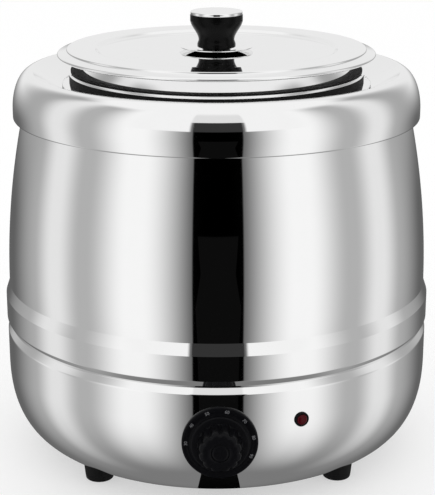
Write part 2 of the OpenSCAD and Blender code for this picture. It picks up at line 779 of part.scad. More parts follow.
earth_nut_h = 4;
earth_top_z = bowl_floor_z + 14;
module earth_stud() {
    color(brass) translate([earth_x, earth_y, bowl_lift - 1.5]) {
        cylinder(r = earth_r, h = earth_top_z - bowl_lift + 1.5);
        cylinder(r = 1.8 * earth_r, h = 1.5);
    }
}

module earth_nut() {
    color(brass) translate([earth_x, earth_y, bowl_floor_z]) difference() {
        hex(1.85 * earth_r, earth_nut_h);
        translate([0, 0, -1]) cylinder(r = earth_r + 0.02, h = earth_nut_h + 2);
    }
}

gland_y = bowl_r_at(gland_z);
gland_flange_r = gland_neck_r + 4;
gland_in = 14;
module cord_gland() {
    color(black) difference() {
        facing(180, gland_y, gland_z) difference() {
            rotate_extrude() polygon([
                [0, -gland_in], [gland_neck_r, -gland_in], [gland_neck_r, -2], [gland_flange_r, -2],
                [gland_flange_r, 4], [gland_neck_r + 2.5, 5], [gland_neck_r + 2.5, gland_out - 7],
                [cord_r + 1.6, gland_out], [0, gland_out]]);
            translate([0, 0, -gland_in - 1]) cylinder(r = cord_r, h = gland_in + gland_out + 2);
        }
        intersection() {
            bowl_solid(fit_gap);
            facing(180, gland_y, gland_z) difference() {
                cylinder(r = 3 * gland_neck_r, h = 30, center = true);
                cylinder(r = gland_neck_r, h = 32, center = true);
            }
        }
    }
}

module gland_nut() {
    color(black) intersection() {
        facing(180, gland_y, gland_z) translate([0, 0, -sheet_t - 6]) difference() {
            hex(gland_neck_r + 4, 8);
            translate([0, 0, -1]) cylinder(r = gland_neck_r + 0.05, h = 12);
        }
        bowl_solid(-sheet_t - fit_gap);
    }
}

// ---- Tie rods ----

tie_end = 6;
tie_nut_h = 4.5;
module tie_rods() {
    color(steel) round_array(4, tie_ring_r, 45) translate([0, 0, bowl_lift - tie_end])
        cylinder(r = tie_r, h = well_under_z - bowl_lift + tie_end);
}

module tie_nuts() {
    color(steel) round_array(4, tie_ring_r, 45) translate([0, 0, bowl_lift - tie_nut_h]) difference() {
        hex(1.75 * tie_r, tie_nut_h);
        translate([0, 0, -1]) cylinder(r = tie_r + 0.02, h = tie_nut_h + 2);
    }
}

// ---- Wiring ----

wire_r = 1.1;
lamp_wire_r = 0.8;
wire_gap = 0.3;
wire_end = 0.8;
block_top = bowl_floor_z + terminal_size[2] - 5;
block_back = terminal_y + terminal_size[1] / 2 + wire_gap;
block_front = terminal_y - terminal_size[1] / 2 - wire_gap;
pin_x = element_ring_r * sin(element_gap / 2);
pin_y = element_ring_r * cos(element_gap / 2);
pin_z = element_z - element_drop - element_pin_h - 4 * wire_gap;
module mains_wires() {
    start_y = gland_y - gland_in - 2 * wire_gap;
    for (i = [-1, 0, 1]) color(i == 0 ? brass : wire_blue)
        tube(i == 0
            ? [[0, start_y, gland_z + 1.8], [run, start_y - 7 * run, gland_z + 1.8],
               [14 * run, start_y - 16 * run, gland_z - 2 * run],
               [30 * run, terminal_y + 22 * run, gland_z - 14 * run],
               [earth_x, earth_y, earth_top_z + wire_end]]
            : [[i * 2.4, start_y, gland_z - 1.2], [i * 2.8 * run, start_y - 6 * run, gland_z - 4 * run],
               [i * 9 * run, start_y - 16 * run, gland_z - 22 * run],
               [i * 12 * run, terminal_y + 18 * run, block_top + 3 * run],
               [i * 12, block_back, block_top]],
            wire_r, 20);
}

module inner_wires() {
    tab_y = -thermostat_y + thermostat_size[1] + 7 + 5 * wire_gap;
    tab_z = dial_z - thermostat_size[2] / 2 + 3;
    color([0.65, 0.10, 0.08]) {
        tube([[-12, block_front, block_top], [-14 * run, terminal_y - 16 * run, block_top - 2 * run],
              [-pin_x - run, pin_y + 2 * run, pin_z - 8 * run], [-pin_x, pin_y, pin_z]], wire_r, 16);
        tube([[pin_x, pin_y, pin_z], [pin_x + 2 * run, pin_y - 6 * run, pin_z - 8 * run],
              [56 * run, 30 * run, wire_lane], [56 * run, -50 * run, wire_lane],
              [30 * run, tab_y + 22 * run, wire_rise],
              [thermostat_tab_x, tab_y + 6 * run, tab_z - 6 * run], [thermostat_tab_x, tab_y, tab_z]],
             wire_r, 32);
        tube([[12, block_front, block_top], [10 * run, terminal_y - 18 * run, block_top - 2 * run],
              [-30 * run, 40 * run, wire_lane], [-56 * run, -20 * run, wire_lane],
              [-40 * run, tab_y + 34 * run, wire_rise],
              [-thermostat_tab_x, tab_y + 6 * run, tab_z - 6 * run], [-thermostat_tab_x, tab_y, tab_z]],
             wire_r, 32);
    }
    // From the lamp's tail, inwards along its axis and then down to the thermostat's side
    tail = bowl_r_at(lamp_z) - lamp_body_l - wire_gap;
    out = [sin(lamp_bearing), -cos(lamp_bearing), 0];
    across = [cos(lamp_bearing), sin(lamp_bearing), 0];
    for (s = [-1, 1]) color(wire_blue)
        tube([tail * out + 2 * s * across + [0, 0, lamp_z],
              (tail - 6 * run) * out + 2.5 * s * across + [0, 0, lamp_z - 2 * run],
              (tail - 14 * run) * out + 3 * s * across + [0, 0, lamp_z - 16 * run],
              [(40 + 2 * s) * run, tab_y, wire_z + (7 + 2 * s) * run],
              [29 * run, tab_y + 6 * run, wire_z + (2 + 3 * s) * run],
              [thermostat_size[0] / 2 - 4, tab_y + 3 * run, tab_z + (6 + 3 * s) * run]], lamp_wire_r, 20);
}

// ---- Soup pot ----

pot_corner_r = 14;
flange_z = seat_z + rest_gap;
module soup_pot() {
    color(inner_steel) {
        ring(concat(
            [[0, pot_floor_z - sheet_t]],
            arc([pot_r - pot_corner_r, pot_floor_z - sheet_t + pot_corner_r], pot_corner_r, -90, 0),
            [[pot_r, pot_top_z]]));
        rotate_extrude() translate([pot_r - sheet_t / 2, flange_z])
            square([flange_w + sheet_t / 2, sheet_t]);
    }
}

module pot_seal() {
    color(rubber) rotate_extrude() translate([pot_r + fit_gap / 4, flange_z + sheet_t])
        square([neck_seal_t, pot_top_z - flange_z - sheet_t - fit_gap]);
}

// ---- Lid ----

lid_ramp_w = 5;
lid_under_z = lid_top_z - lid_edge_drop - lid_edge_r;
module lid_shell() {
    band_r = lid_r - lid_flange_w;
    run = lid_flange_w - lid_edge_r;
    drop = lid_edge_drop - lid_step_h;
    slope = atan2(drop, run) - asin(lid_edge_r / norm([run, drop]));
    outline = concat(
        [[lid_r - 9, lid_under_z]],
        arc([lid_r - lid_edge_r, lid_under_z + lid_edge_r], lid_edge_r, -90, 90 - slope, 8),
        [[band_r, lid_top_z - lid_step_h], [band_r, lid_top_z - 0.5], [band_r - 0.5, lid_top_z],
         [lid_centre_r + lid_ramp_w, lid_top_z], [lid_centre_r, lid_centre_z], [0, lid_centre_z]]);
    color(steel) difference() {
        ring(outline);
        translate([0, 0, lid_centre_z - 5]) cylinder(r = lid_screw_r + hole_gap, h = 10);
    }
}

skirt_top_z = lid_under_z;
module lid_skirt() {
    plug_r = pot_r - sheet_t - plug_gap;
    color(steel) rotate_extrude() {
        translate([skirt_r - sheet_t, ledge_z]) square([sheet_t, skirt_top_z - ledge_z]);
        translate([skirt_r - sheet_t, skirt_top_z - sheet_t])
            square([lid_r - 6.5 - skirt_r, sheet_t]);
        translate([skirt_r - sheet_t, ledge_z])
            square([pot_r + ledge_over - skirt_r + sheet_t, 2 * sheet_t]);
        translate([plug_r - sheet_t, ledge_z - plug_h]) square([sheet_t, plug_h + sheet_t]);
    }
}

module lid_seal() {
    inner_r = skirt_r + fit_gap / 4;
    color(rubber) rotate_extrude() translate([inner_r, ledge_z + 2 * sheet_t])
        square([pot_r + ledge_over - lid_seal_inset - inner_r, lid_seal_t]);
}

shield_t = 0.8;
shield_dish = 2.3;
shield_hub_r = 12;
knob_z = lid_centre_z + shield_t;
module heat_shield() {
    color(steel) difference() {
        rotate_extrude() polygon([
            [0, lid_centre_z], [shield_hub_r, lid_centre_z], [shield_r, lid_centre_z + shield_dish],
            [shield_r, lid_centre_z + shield_dish + shield_t],
            [shield_r - 1, lid_centre_z + shield_dish + shield_t],
            [shield_hub_r, knob_z], [0, knob_z]]);
        translate([0, 0, lid_centre_z - 5]) cylinder(r = lid_screw_r + hole_gap, h = 10);
    }
}

knob_disc_h = 2.5;
knob_recess_r = knob_top_r - 1.6;
module lid_knob() {
    h = knob_h - knob_disc_h;
    color(black) translate([0, 0, knob_z]) difference() {
        rotate_extrude() polygon(concat(
            [[0, 0], [shield_hub_r - 1, 0], [shield_hub_r - 1, 1.2], [knob_foot_r, 1.6]],
            [for (i = [0:4]) let (t = i / 4)
                [knob_foot_r - (knob_foot_r - knob_waist_r) * ease(t), h * (0.13 + 0.14 * t)]],
            [for (i = [1:6]) let (t = i / 6)
                [knob_waist_r + (knob_top_r - knob_waist_r) * ease(t), h * (0.27 + 0.57 * t)]],
            [[knob_top_r, h - 0.5], [knob_top_r - 0.3, h], [knob_recess_r, h],
             [knob_recess_r, h - 1], [0, h - 1]]));
        translate([0, 0, -1]) cylinder(r = lid_screw_r + 0.02, h = 13);
    }
}

module lid_knob_cap() {
    h = knob_disc_h + 1;
    rim = knob_top_r - 0.3;
    color(steel) translate([0, 0, knob_z + knob_h - h]) rotate_extrude() polygon([
        [0, 0], [knob_recess_r - fit_gap, 0], [knob_recess_r - fit_gap, 1], [rim, 1],
        [rim, h - 0.8], [rim - 0.8, h], [0, h]]);
}

lid_washer_r = 7;
lid_washer_t = 1;
module lid_washer() {
    color(steel) translate([0, 0, lid_centre_z - sheet_t - lid_washer_t]) difference() {
        cylinder(r = lid_washer_r, h = lid_washer_t);
        translate([0, 0, -1]) cylinder(r = lid_screw_r + hole_gap, h = 5);
    }
}

module lid_screw() {
    z = lid_centre_z - sheet_t - lid_washer_t;
    color(steel) {
        translate([0, 0, z]) cylinder(r = lid_screw_r, h = knob_z + 11 - z);
        translate([0, 0, z - 2.4]) cylinder(r = 1.8 * lid_screw_r, h = 2.4);
    }
}

base_shell();
base_plate();
base_plate_screws();
foot_front_left();
foot_front_right();
foot_rear_left();
foot_rear_right();
foot_screws();
foot_nuts();
barrel_shell();
collar();
water_well();
diffuser_plate();
heating_element();
element_clamp();
clamp_studs();
clamp_nuts();
thermal_cutout();
cutout_screws();
control_bracket();
thermostat();
thermostat_screws();
thermostat_bulb();
bulb_clip();
capillary_tube();
dial_bezel();
lamp_body();
lamp_lens();
lamp_nut();
terminal_block();
terminal_screws();
earth_stud();
earth_nut();
cord_gland();
gland_nut();
tie_rods();
tie_nuts();
mains_wires();
inner_wires();
soup_pot();
pot_seal();
lid_shell();
lid_skirt();
lid_seal();
lid_knob();
lid_knob_cap();
heat_shield();
lid_screw();
lid_washer();
control_knob();
knob_cap();
thermostat_shaft();
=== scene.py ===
import json
import math

import bpy
from mathutils import Matrix, Vector


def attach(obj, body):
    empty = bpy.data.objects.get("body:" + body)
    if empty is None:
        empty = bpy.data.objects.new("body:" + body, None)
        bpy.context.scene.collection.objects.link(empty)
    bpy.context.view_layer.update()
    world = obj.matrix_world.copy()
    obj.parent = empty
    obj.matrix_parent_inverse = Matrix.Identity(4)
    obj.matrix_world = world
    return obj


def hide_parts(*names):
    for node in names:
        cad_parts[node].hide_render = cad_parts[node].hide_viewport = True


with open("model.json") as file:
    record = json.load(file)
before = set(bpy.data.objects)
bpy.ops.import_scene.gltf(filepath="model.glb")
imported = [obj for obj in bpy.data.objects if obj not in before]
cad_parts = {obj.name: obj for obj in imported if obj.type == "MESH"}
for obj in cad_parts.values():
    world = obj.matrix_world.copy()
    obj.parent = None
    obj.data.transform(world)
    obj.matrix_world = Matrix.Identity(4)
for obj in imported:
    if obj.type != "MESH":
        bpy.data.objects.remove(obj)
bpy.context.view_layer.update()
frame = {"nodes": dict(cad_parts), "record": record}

MM = 0.001

# ---- Sizes in millimetres, as in the part's source ----
SHEET = 1.0

# Bowl: its wall, the curve of its corner, the slope over its wall and the lip that the barrel covers
BOWL_R, BOWL_LIFT = 172.3, 9.7
CURVE_W, CURVE_H, POWER = 49.0, 68.5, 2.45
CURVE_Z = BOWL_LIFT + CURVE_H
WALL_TOP = CURVE_Z + 23.0
SLOPE_H, BEND_R = 4.6, 2.5
LIP_R, LIP_H = 169.2, 18.0
ACCESS_R = 84
BOWL_GAP = 0.2

# Barrel: its hem, its band, the step to its wall, the wall's taper and the weld down its back
BAND_R, HEM_W, HEM_H = 172.8, 2.9, 6.0
BAND_Z = WALL_TOP + SLOPE_H + 0.7
STEP_Z, BARREL_Z = 131.2, 140.2
BARREL_R, BARREL_H, TAPER = 169.8, 134.3, 14.6
BARREL_TOP_R = BARREL_R - TAPER
BARREL_ROWS = 48
ROLL_R = 1.5
WELD_HALF_W, WELD_STAND, WELD_FALL = 1.4, 0.25, 0.35

# Collar: its wall, its round shoulder, its crest and the seat that slopes in to the well
COLLAR_Z, COLLAR_R = 274.5, 162.0
SHOULDER_Z, SHOULDER_W, SHOULDER_H = 281.8, 15.0, 29.7
CREST_Z, CREST_BEND_R = SHOULDER_Z + SHOULDER_H, 3
TOP_R = COLLAR_R - SHOULDER_W
SEAT_R, SEAT_Z = 124.0, 299.6

# Water well and soup pot
WELL_R, WELL_CORNER_R, WELL_DROP = 118.4, 12, 16
WELL_RIM_W, WELL_RIM_DROP = 7.5, 2
POT_R, POT_TOP, POT_FLOOR, POT_CORNER_R = 115.5, 308.0, 82.0, 14
FLANGE_R, FLANGE_Z = 122.3, 299.7

# Lid: its ledge, its top, its sloping flange with a rolled edge, its sunk centre and the wall under it
LEDGE_Z, LID_TOP, LID_R = 308.1, 328.0, 125.8
FLANGE_W, STEP_DOWN, EDGE_DROP, EDGE_R = 7.5, 1.5, 4.5, 1.3
LID_UNDER = LID_TOP - EDGE_DROP - EDGE_R
RAISED_R = LID_R - FLANGE_W
LID_CENTRE_R, LID_CENTRE_Z = 92.0, 325.5
LID_WALL_R, PLUG_R, LEDGE_R, LID_WELD_R = 108.5, 113, 117, 119.3
PLUG_H, LEDGE_T = 9, 2
SHIELD_R, SHIELD_FLAT_R, SHIELD_DISH, SHIELD_T = 29, 12, 2.3, 0.8

# Lid knob: a grip with a waist and a steel disc let into its top
KNOB_Z, KNOB_H = LID_CENTRE_Z + SHIELD_T, 29.8
KNOB_R, KNOB_FOOT_R, KNOB_WAIST_R = 20.8, 15.2, 14.2
DISC_H, RECESS_H = 2.5, 1
GRIP_H = KNOB_H - DISC_H

# Dial, pilot lamp, cord gland and feet
DIAL_Z, BEZEL_Y, BEZEL_R = 64.3, 174.0, 28.2
MARK_R, MARK_SIZE, MARK_T = 25.0, 3.4, 0.05
MARKS, FIRST_MARK, MARK_STEP, MARK_ANGLE = 7, 30, 10, 34
FLUTES = 12
LAMP_BEARING, LAMP_Z, LAMP_RIM_R, LAMP_RIM_H = 20.5, 77.7, 5.6, 1.4
LENS_R, LENS_DOME, LENS_TAIL = 3.95, 1.6, 1.9
GLAND_Z = 60.0
FOOT_XY, FOOT_SEGMENTS, FOOT_SINK = 94.0, 72, 0.25


# ---- Materials ----
def node_tree(name):
    material = bpy.data.materials.new(name)
    material.use_nodes = True
    tree = material.node_tree
    return material, tree.nodes, tree.links, tree.nodes["Principled BSDF"]


def add(nodes, kind, **values):
    node = nodes.new(kind)
    for key, value in values.items():
        setattr(node, key, value)
    return node


def finish_of(name, colour, rough, metal, spread, grain, scale, stretch=(1, 1, 1), gloss=0.5, bump=0.0):
    """Principled material with a fine noise in its roughness, colour and height.

    spread is the noise's share in the roughness, grain its share in the colour and bump its height in mm.
    """
    material, nodes, links, shader = node_tree(name)
    shader.inputs["Metallic"].default_value = metal
    shader.inputs["Specular IOR Level"].default_value = gloss
    place = add(nodes, "ShaderNodeTexCoord")
    mapping = add(nodes, "ShaderNodeMapping")
    mapping.inputs["Scale"].default_value = stretch
    noise = add(nodes, "ShaderNodeTexNoise")
    noise.inputs["Scale"].default_value = scale
    noise.inputs["Detail"].default_value = 4.0
    links.new(place.outputs["Object"], mapping.inputs["Vector"])
    links.new(mapping.outputs["Vector"], noise.inputs["Vector"])
    ramp = add(nodes, "ShaderNodeMapRange")
    ramp.inputs["To Min"].default_value = max(0.0, rough - spread)
    ramp.inputs["To Max"].default_value = rough + spread
    links.new(noise.outputs["Fac"], ramp.inputs["Value"])
    links.new(ramp.outputs["Result"], shader.inputs["Roughness"])
    tint = add(nodes, "ShaderNodeMix", data_type="RGBA")
    tint.inputs[6].default_value = (*[c * (1 - grain) for c in colour], 1)
    tint.inputs[7].default_value = (*[min(1, c * (1 + grain)) for c in colour], 1)
    links.new(noise.outputs["Fac"], tint.inputs[0])
    links.new(tint.outputs[2], shader.inputs["Base Color"])
    if bump:
        raised = add(nodes, "ShaderNodeBump")
        raised.inputs["Strength"].default_value = 1.0
        raised.inputs["Distance"].default_value = bump * MM
        links.new(noise.outputs["Fac"], raised.inputs["Height"])
        links.new(raised.outputs["Normal"], shader.inputs["Normal"])
    return material


MIRROR = finish_of("polished_steel", (0.93, 0.93, 0.93), 0.03, 1.0, 0.015, 0.01, 60.0)
SATIN = finish_of("satin_steel", (0.72, 0.72, 0.72), 0.28, 1.0, 0.05, 0.03, 30.0, (1, 1, 14))
ZINC = finish_of("zinc_steel", (0.62, 0.63, 0.64), 0.38, 1.0, 0.1, 0.08, 300.0, bump=0.02)
RUBBER = finish_of("rubber", (0.006, 0.006, 0.006), 0.62, 0.0, 0.08, 0.15, 500.0, gloss=0.15, bump=0.03)
PHENOLIC = finish_of("black_phenolic", (0.003, 0.003, 0.003), 0.16, 0.0, 0.04, 0.2, 350.0, gloss=0.08)
PLASTIC = finish_of("black_plastic", (0.004, 0.004, 0.005), 0.30, 0.0, 0.06, 0.2, 600.0, gloss=0.08,
                    bump=0.01)
ALUMINIUM = finish_of("aluminium", (0.80, 0.81, 0.82), 0.35, 1.0, 0.06, 0.03, 200.0)
SHEATH = finish_of("heater_sheath", (0.20, 0.19, 0.18), 0.5, 1.0, 0.12, 0.2, 120.0)
BRASS = finish_of("brass", (0.72, 0.53, 0.24), 0.32, 1.0, 0.08, 0.06, 200.0)
COPPER = finish_of("copper", (0.75, 0.42, 0.28), 0.32, 1.0, 0.08, 0.06, 200.0)
CERAMIC = finish_of("ceramic", (0.80, 0.77, 0.69), 0.45, 0.0, 0.08, 0.04, 150.0, bump=0.03)
LENS = finish_of("lamp_red", (0.055, 0.002, 0.005), 0.10, 0.0, 0.03, 0.1, 300.0, gloss=0.12)
WIRE = finish_of("wire_insulation", (0.35, 0.05, 0.04), 0.4, 0.0, 0.05, 0.05, 300.0)
INK = finish_of("dial_ink", (0.16, 0.16, 0.17), 0.55, 0.0, 0.05, 0.1, 500.0)


# ---- Mesh helpers ----
def arc(cr, cz, r, a, b, n):
    """Points from angle a to angle b, in degrees, on a circle of radius r."""
    return [(cr + r * math.cos(math.radians(a + (b - a) * i / n)),
             cz + r * math.sin(math.radians(a + (b - a) * i / n))) for i in range(n + 1)]


def ease(t):
    """Rises smoothly from 0 to 1."""
    return t * t * (3 - 2 * t)


def shifted(path, d):
    """The open path moved sideways by d, to its left."""
    out = []
    count = len(path)
    for i, p in enumerate(path):
        a = path[max(i - 1, 0)]
        b = path[min(i + 1, count - 1)]
        sides = []
        for s, e in ((a, p), (p, b)):
            v = (e[0] - s[0], e[1] - s[1])
            length = math.hypot(*v)
            if length > 1e-9:
                sides.append((-v[1] / length, v[0] / length))
        n = (sum(x for x, _ in sides) / len(sides), sum(y for _, y in sides) / len(sides))
        k = max(0.25, n[0] ** 2 + n[1] ** 2)
        out.append((p[0] + d * n[0] / k, p[1] + d * n[1] / k))
    return out


def sheet(path):
    """Closed section of a sheet whose outside follows path."""
    return path + shifted(path, SHEET)[::-1]


def linked(name, data):
    """A new object in the scene."""
    piece = bpy.data.objects.new(name, data)
    bpy.context.scene.collection.objects.link(piece)
    return piece


def mesh_piece(name, verts, faces, material, smooth=40.0):
    """A mesh given in mm, smooth but for edges sharper than an angle in degrees."""
    mesh = bpy.data.meshes.new(name)
    mesh.from_pydata([tuple(c * MM for c in v) for v in verts], [], faces)
    mesh.validate()
    mesh.update()
    mesh.polygons.foreach_set("use_smooth", [True] * len(mesh.polygons))
    mesh.set_sharp_from_angle(angle=math.radians(smooth))
    mesh.materials.append(material)
    return linked(name, mesh)


def ring_faces(rings, segments, closed=True):
    """Faces between rings of vertices. A closed section joins the last ring to the first."""
    faces = []
    for i in range(rings if closed else rings - 1):
        a = i * segments
        b = (i + 1) % rings * segments
        for k in range(segments):
            m = (k + 1) % segments
            faces.append((a + k, a + m, b + m, b + k))
    return faces


def revolved(section, segments):
    """Vertices and faces of a closed section turned about the Z axis. Points at radius 0 become poles."""
    verts, faces, rows = [], [], []
    for r, z in section:
        if r < 1e-6:
            rows.append([len(verts)] * segments)
            verts.append((0, 0, z))
        else:
            rows.append(list(range(len(verts), len(verts) + segments)))
            for k in range(segments):
                a = 2 * math.pi * (k + 0.5) / segments
                verts.append((r * math.sin(a), -r * math.cos(a), z))
    n = len(rows)
    for i in range(n):
        a, b = rows[i], rows[(i + 1) % n]
        if a[0] == a[1] and b[0] == b[1]:
            continue
        for k in range(segments):
            m = (k + 1) % segments
            ring = [a[k], a[m], b[m], b[k]]
            faces.append([v for j, v in enumerate(ring) if v not in ring[:j]])
    return verts, faces


def moved(verts, matrix):
    return [tuple(matrix @ Vector(v)) for v in verts]


def facing(bearing, radius, z):
    """Turns local +Z out of the bowl at a bearing from the dial, as the part's source does."""
    return (Matrix.Rotation(math.radians(bearing), 4, "Z") @ Matrix.Translation((0, -radius, z))
            @ Matrix.Rotation(math.radians(90), 4, "X"))


def lathe(name, section, material, segments=384, place=None, smooth=40.0):
    """A piece with a closed section of (radius, height), turned about Z and then moved to a place."""
    verts, faces = revolved(section, segments)
    if place is not None:
        verts = moved(verts, place)
    return mesh_piece(name, verts, faces, material, smooth)


def settle(piece, body, slot, *nodes):
    """Gives a piece its body and hides the solids that it stands for. slot, its material slot, is not used.
    """
    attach(piece, body)
    if nodes:
        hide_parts(*nodes)


def rounded(points, radius, n=3):
    """The closed section with its corners rounded."""
    out = []
    count = len(points)
    for i, p in enumerate(points):
        before, after = Vector(points[i - 1]), Vector(points[(i + 1) % count])
        here = Vector(p)
        a, b = before - here, after - here
        r = min(radius, 0.4 * a.length, 0.4 * b.length)
        if here.x < 1e-6 or r < 1e-4:
            out.append(tuple(here))
            continue
        start, end = here + a.normalized() * r, here + b.normalized() * r
        for k in range(n + 1):
            t = k / n
            out.append(tuple(start * (1 - t) ** 2 + here * 2 * t * (1 - t) + end * t * t))
    return out


def bowl_r_at(z):
    """Outside radius of the bowl at a height."""
    return BOWL_R - CURVE_W + CURVE_W * (1 - (max(0, CURVE_Z - z) / CURVE_H) ** POWER) ** (1 / POWER)


def bowl_z_at(r):
    """Height of the bowl's underside at a radius."""
    return CURVE_Z - CURVE_H * (1 - (max(0, r - (BOWL_R - CURVE_W)) / CURVE_W) ** POWER) ** (1 / POWER)


def bowl_depth(x, z):
    """Distance from the axis plane to the bowl's outside, looking along Y."""
    return math.sqrt(bowl_r_at(z) ** 2 - x * x)


# ---- Shells ----
turn = math.degrees(math.atan((BOWL_R - LIP_R) / SLOPE_H))
bend_h = BEND_R * math.tan(math.radians(turn / 2))
curve = [(BOWL_R - CURVE_W + CURVE_W * math.cos(math.radians(t)) ** (2 / POWER),
          CURVE_Z - CURVE_H * math.sin(math.radians(t)) ** (2 / POWER))
         for t in [90 - 1.25 * i for i in range(72)]]
bowl_path = ([(ACCESS_R, BOWL_LIFT), (BOWL_R - CURVE_W, BOWL_LIFT)] + curve[1:]
             + [(BOWL_R, CURVE_Z), (BOWL_R, WALL_TOP - bend_h - 0.5)]
             + arc(BOWL_R - BEND_R, WALL_TOP - bend_h, BEND_R, 0, turn, 8)
             + [(LIP_R, WALL_TOP + SLOPE_H), (LIP_R, WALL_TOP + LIP_H)])
bowl = lathe("bowl_polished", sheet(bowl_path), MIRROR, 512, smooth=15)
settle(bowl, "kettle", "polished_steel", "base_shell")

hem_slope = math.degrees(math.atan(HEM_W / HEM_H))
hem = [(BAND_R - HEM_W, BAND_Z)] + arc(BAND_R - ROLL_R, BAND_Z + HEM_H, ROLL_R, -hem_slope, 0, 6)
wall_up = ([(BAND_R, BAND_Z + HEM_H + 0.7), (BAND_R, STEP_Z), (BARREL_R, BARREL_Z)]
           + [(BARREL_R - TAPER * (i / BARREL_ROWS) ** 2, BARREL_Z + BARREL_H * i / BARREL_ROWS)
              for i in range(1, BARREL_ROWS + 1)]
           + [(BARREL_TOP_R - 1.3, COLLAR_Z + 6)])
barrel_section = hem + wall_up + shifted(wall_up, SHEET)[::-1] + [(BAND_R - HEM_W - 0.4, BAND_Z + 0.2)]
barrel = lathe("barrel_polished", barrel_section, MIRROR, 512, smooth=15)
settle(barrel, "kettle", "polished_steel", "barrel_shell")

weld_rows = [(r + WELD_STAND, z) for r, z in wall_up if BARREL_Z + 2 < z < COLLAR_Z - 1]
weld_verts = [(side * WELD_HALF_W, r - (WELD_FALL if side else 0.0), z)
              for r, z in weld_rows for side in (-1, 0, 1)]
weld_faces = [(3 * i + k, 3 * i + k + 1, 3 * i + k + 4, 3 * i + k + 3)
              for i in range(len(weld_rows) - 1) for k in (0, 1)]
weld = mesh_piece("barrel_weld", weld_verts, weld_faces, SATIN)
settle(weld, "kettle", "polished_steel")

slope = math.degrees(math.atan((CREST_Z - SEAT_Z) / (TOP_R - SEAT_R)))
collar_path = ([(BARREL_TOP_R + 0.2, COLLAR_Z)]
               + arc(COLLAR_R - ROLL_R, COLLAR_Z + ROLL_R, ROLL_R, -90, 0, 8)
               + [(TOP_R + SHOULDER_W * math.cos(math.radians(3 * i)),
                   SHOULDER_Z + SHOULDER_H * math.sin(math.radians(3 * i))) for i in range(30)]
               + arc(TOP_R - 0.5, CREST_Z - CREST_BEND_R, CREST_BEND_R, 90, 90 + slope, 8)
               + [(SEAT_R, SEAT_Z), (WELL_R, SEAT_Z)])
collar = lathe("collar_polished", sheet(collar_path), MIRROR, 512)
settle(collar, "kettle", "polished_steel", "collar")

# ---- Soup pot and water well ----
pot_bend = (POT_R - POT_CORNER_R, POT_FLOOR + POT_CORNER_R - SHEET)
pot_section = ([(0, POT_FLOOR - SHEET)] + arc(*pot_bend, POT_CORNER_R, -90, 0, 12)
               + [(POT_R, FLANGE_Z), (FLANGE_R, FLANGE_Z), (FLANGE_R, FLANGE_Z + SHEET),
                  (POT_R, FLANGE_Z + SHEET), (POT_R, POT_TOP), (POT_R - SHEET, POT_TOP)]
               + arc(*pot_bend, POT_CORNER_R - SHEET, 0, -90, 12) + [(0, POT_FLOOR)])
pot = lathe("soup_pot_steel", rounded(pot_section, 0.2), MIRROR)
settle(pot, "pot", "polished_steel", "soup_pot")

well_under = POT_FLOOR - WELL_DROP
well_out_r = WELL_R + SHEET
well_path = ([(0, well_under)]
             + arc(well_out_r - WELL_CORNER_R, well_under + WELL_CORNER_R, WELL_CORNER_R, -90, 0, 12)
             + [(well_out_r, SEAT_Z - WELL_RIM_DROP), (well_out_r + WELL_RIM_W, SEAT_Z - WELL_RIM_DROP)])
well = lathe("water_well_steel", sheet(well_path), SATIN)
settle(well, "kettle", "satin_steel", "water_well")

# ---- Lid ----
run, drop = FLANGE_W - EDGE_R, EDGE_DROP - STEP_DOWN
fall = math.degrees(math.atan2(drop, run) - math.asin(EDGE_R / math.hypot(run, drop)))
step_z = LID_TOP - STEP_DOWN
lid_path = ([(LID_R - 9, LID_UNDER)]
            + arc(LID_R - EDGE_R, LID_UNDER + EDGE_R, EDGE_R, -90, 90 - fall, 20)
            + [(RAISED_R + 0.6, step_z - 0.16), (RAISED_R + 0.2, step_z + 0.05), (RAISED_R, step_z + 0.35)]
            + arc(RAISED_R - 0.6, LID_TOP - 0.6, 0.6, 0, 90, 8)
            + [(RAISED_R - 1, LID_TOP), (LID_CENTRE_R + 5.6, LID_TOP)]
            + [(LID_CENTRE_R + 5 - 5 * i / 10, LID_TOP - (LID_TOP - LID_CENTRE_Z) * ease(i / 10))
               for i in range(11)]
            + [(LID_CENTRE_R - 0.6, LID_CENTRE_Z), (0, LID_CENTRE_Z)])
lid = lathe("lid_polished", sheet(lid_path), MIRROR, 512)
settle(lid, "lid", "polished_steel", "lid_shell")

skirt_in_r = LID_WALL_R - SHEET
skirt = lathe("lid_wall", rounded([
    (skirt_in_r, LEDGE_Z), (PLUG_R - SHEET, LEDGE_Z), (PLUG_R - SHEET, LEDGE_Z - PLUG_H),
    (PLUG_R, LEDGE_Z - PLUG_H), (PLUG_R, LEDGE_Z), (LEDGE_R, LEDGE_Z), (LEDGE_R, LEDGE_Z + LEDGE_T),
    (LID_WALL_R, LEDGE_Z + LEDGE_T), (LID_WALL_R, LID_UNDER - SHEET), (LID_WELD_R, LID_UNDER - SHEET),
    (LID_WELD_R, LID_UNDER), (skirt_in_r, LID_UNDER)], 0.35), MIRROR)
settle(skirt, "lid", "polished_steel", "lid_skirt")

shield = lathe("knob_shield", rounded([
    (0, LID_CENTRE_Z), (SHIELD_FLAT_R, LID_CENTRE_Z), (SHIELD_R, LID_CENTRE_Z + SHIELD_DISH),
    (SHIELD_R, KNOB_Z + SHIELD_DISH), (SHIELD_FLAT_R, KNOB_Z), (0, KNOB_Z)], 0.2), MIRROR, 192)
settle(shield, "lid", "polished_steel", "heat_shield")

